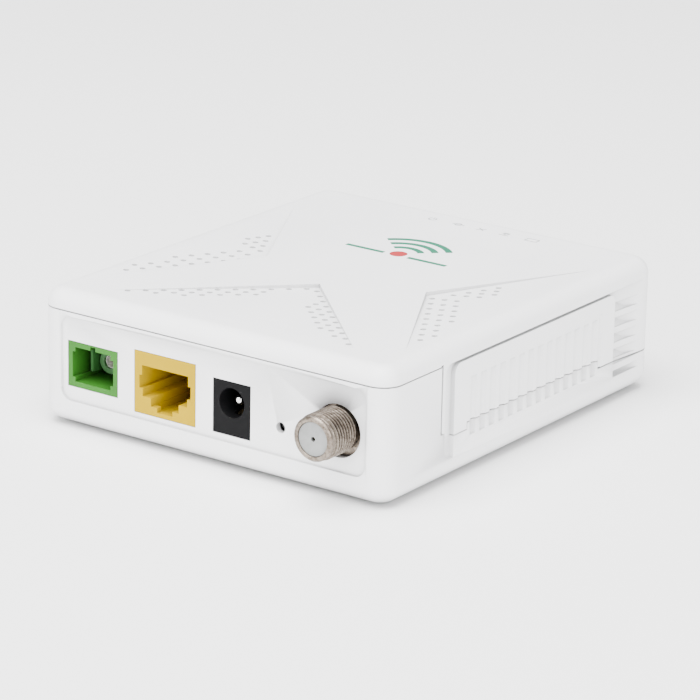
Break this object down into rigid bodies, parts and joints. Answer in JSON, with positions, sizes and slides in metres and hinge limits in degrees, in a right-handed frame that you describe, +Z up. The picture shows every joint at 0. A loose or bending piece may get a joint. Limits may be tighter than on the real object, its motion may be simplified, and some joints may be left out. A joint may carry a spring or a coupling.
{
  "type": "optical network terminal",
  "caption": "Flat rounded box that ends a fibre line, with fibre, network, power and coaxial sockets on one face, a reset hole, side pads with upright slots and louvres round the back.",
  "frame": {"origin": "middle of the bounding box, on the plane of the rubber feet", "axes": "+Z up, -Y out of the face with the sockets, +X towards the coaxial socket's end of that face"},
  "size_m": [0.086, 0.1056, 0.0288],
  "materials": {
    "case_white": "fine satin grain, injection moulded",
    "green_plastic": "satin moulded",
    "sleeve_holder_plastic": "moulded",
    "yellow_plastic": "satin moulded",
    "amber_plastic": "moulded",
    "black_plastic": "satin moulded",
    "white_ceramic": "polished zirconia",
    "plug_plastic": "moulded",
    "soft_boot": "soft moulded",
    "cord_jacket": "smooth jacket",
    "nickel": "worn nickel plate over brass",
    "pale_insulator": "moulded",
    "gold_plate": "thin gold plate",
    "bright_pin": "tinned bright",
    "spring_bronze": "tinned phosphor bronze",
    "tinned_steel": "tinned sheet",
    "screw_steel": "zinc plated",
    "board_green": "solder resist on glass laminate",
    "chip_black": "moulded epoxy",
    "sink_aluminium": "extruded, bead blasted",
    "pad_grey": "soft gap filler",
    "can_aluminium": "drawn can",
    "chip_tan": "fired ceramic chip",
    "crystal_can": "drawn can",
    "lamp_body": "cast resin",
    "guide_clear": "clear moulded acrylic",
    "foot_rubber": "soft silicone",
    "label_paper": "blank sticker",
    "module_metal": "machined and plated"
  },
  "bodies": {
    "case": {"top_cover": "case_white", "bottom_case": "case_white", "port_panel_left": "case_white", "port_panel_right": "case_white", "main_board": "board_green", "case_screws": "screw_steel", "board_screws": "screw_steel", "rubber_feet": "foot_rubber", "rating_label": "label_paper", "sc_housing": "green_plastic", "sc_holder": "sleeve_holder_plastic", "sc_sleeve": "white_ceramic", "sc_ferrule": "white_ceramic", "sc_cradle": "black_plastic", "fibre_plug": "plug_plastic", "fibre_boot": "soft_boot", "fibre_cord": "cord_jacket", "cord_clips": "plug_plastic", "optical_module": "module_metal", "rj45_housing": "yellow_plastic", "rj45_carrier": "amber_plastic", "dc_housing": "black_plastic", "dc_pin": "bright_pin", "dc_terminals": "tinned_steel", "reset_switch": "black_plastic", "f_shell": "nickel", "f_insulator": "pale_insulator", "f_contact": "gold_plate", "shield_can": "tinned_steel", "soc_chip": "chip_black", "thermal_pad": "pad_grey", "heatsink": "sink_aluminium", "memory_chip": "chip_black", "flash_chip": "chip_black", "network_transformer": "chip_black", "power_inductors": "chip_black", "can_capacitors": "can_aluminium", "chip_capacitors": "chip_tan", "crystal": "crystal_can", "service_header": "gold_plate", "status_lamps": "lamp_body", "light_guide": "guide_clear"},
    "latch_left": {"sc_hook_left": "sleeve_holder_plastic"},
    "latch_right": {"sc_hook_right": "sleeve_holder_plastic"},
    "network_springs": {"rj45_contacts": "gold_plate"},
    "power_leaf": {"dc_leaf": "spring_bronze"},
    "reset_button": {"reset_stem": "plug_plastic"}
  },
  "joints": [
    {"name": "reset_press", "type": "slide", "parent": "case", "child": "reset_button", "axis": [0, 1, 0], "range_m": [0, 0.00025], "stiffness_N_per_m": 4000, "springref_m": -0.0001},
    {"name": "latch_right_flex", "type": "hinge", "parent": "case", "child": "latch_right", "pos_m": [-0.0257, -0.0347, 0.01395], "axis": [0, 0, 1], "range_deg": [0, 4], "stiffness_Nm_per_rad": 0.2},
    {"name": "latch_left_flex", "type": "hinge", "parent": "case", "child": "latch_left", "pos_m": [-0.0331, -0.0347, 0.01395], "axis": [0, 0, -1], "range_deg": [0, 4], "stiffness_Nm_per_rad": 0.2},
    {"name": "network_spring_flex", "type": "hinge", "parent": "case", "child": "network_springs", "pos_m": [-0.011, -0.0392, 0.0167], "axis": [1, 0, 0], "range_deg": [0, 15], "stiffness_Nm_per_rad": 0.3},
    {"name": "power_leaf_flex", "type": "hinge", "parent": "case", "child": "power_leaf", "pos_m": [0.00565, -0.0331, 0.01], "axis": [1, 0, 0], "range_deg": [0, 5], "stiffness_Nm_per_rad": 0.14}
  ]
}
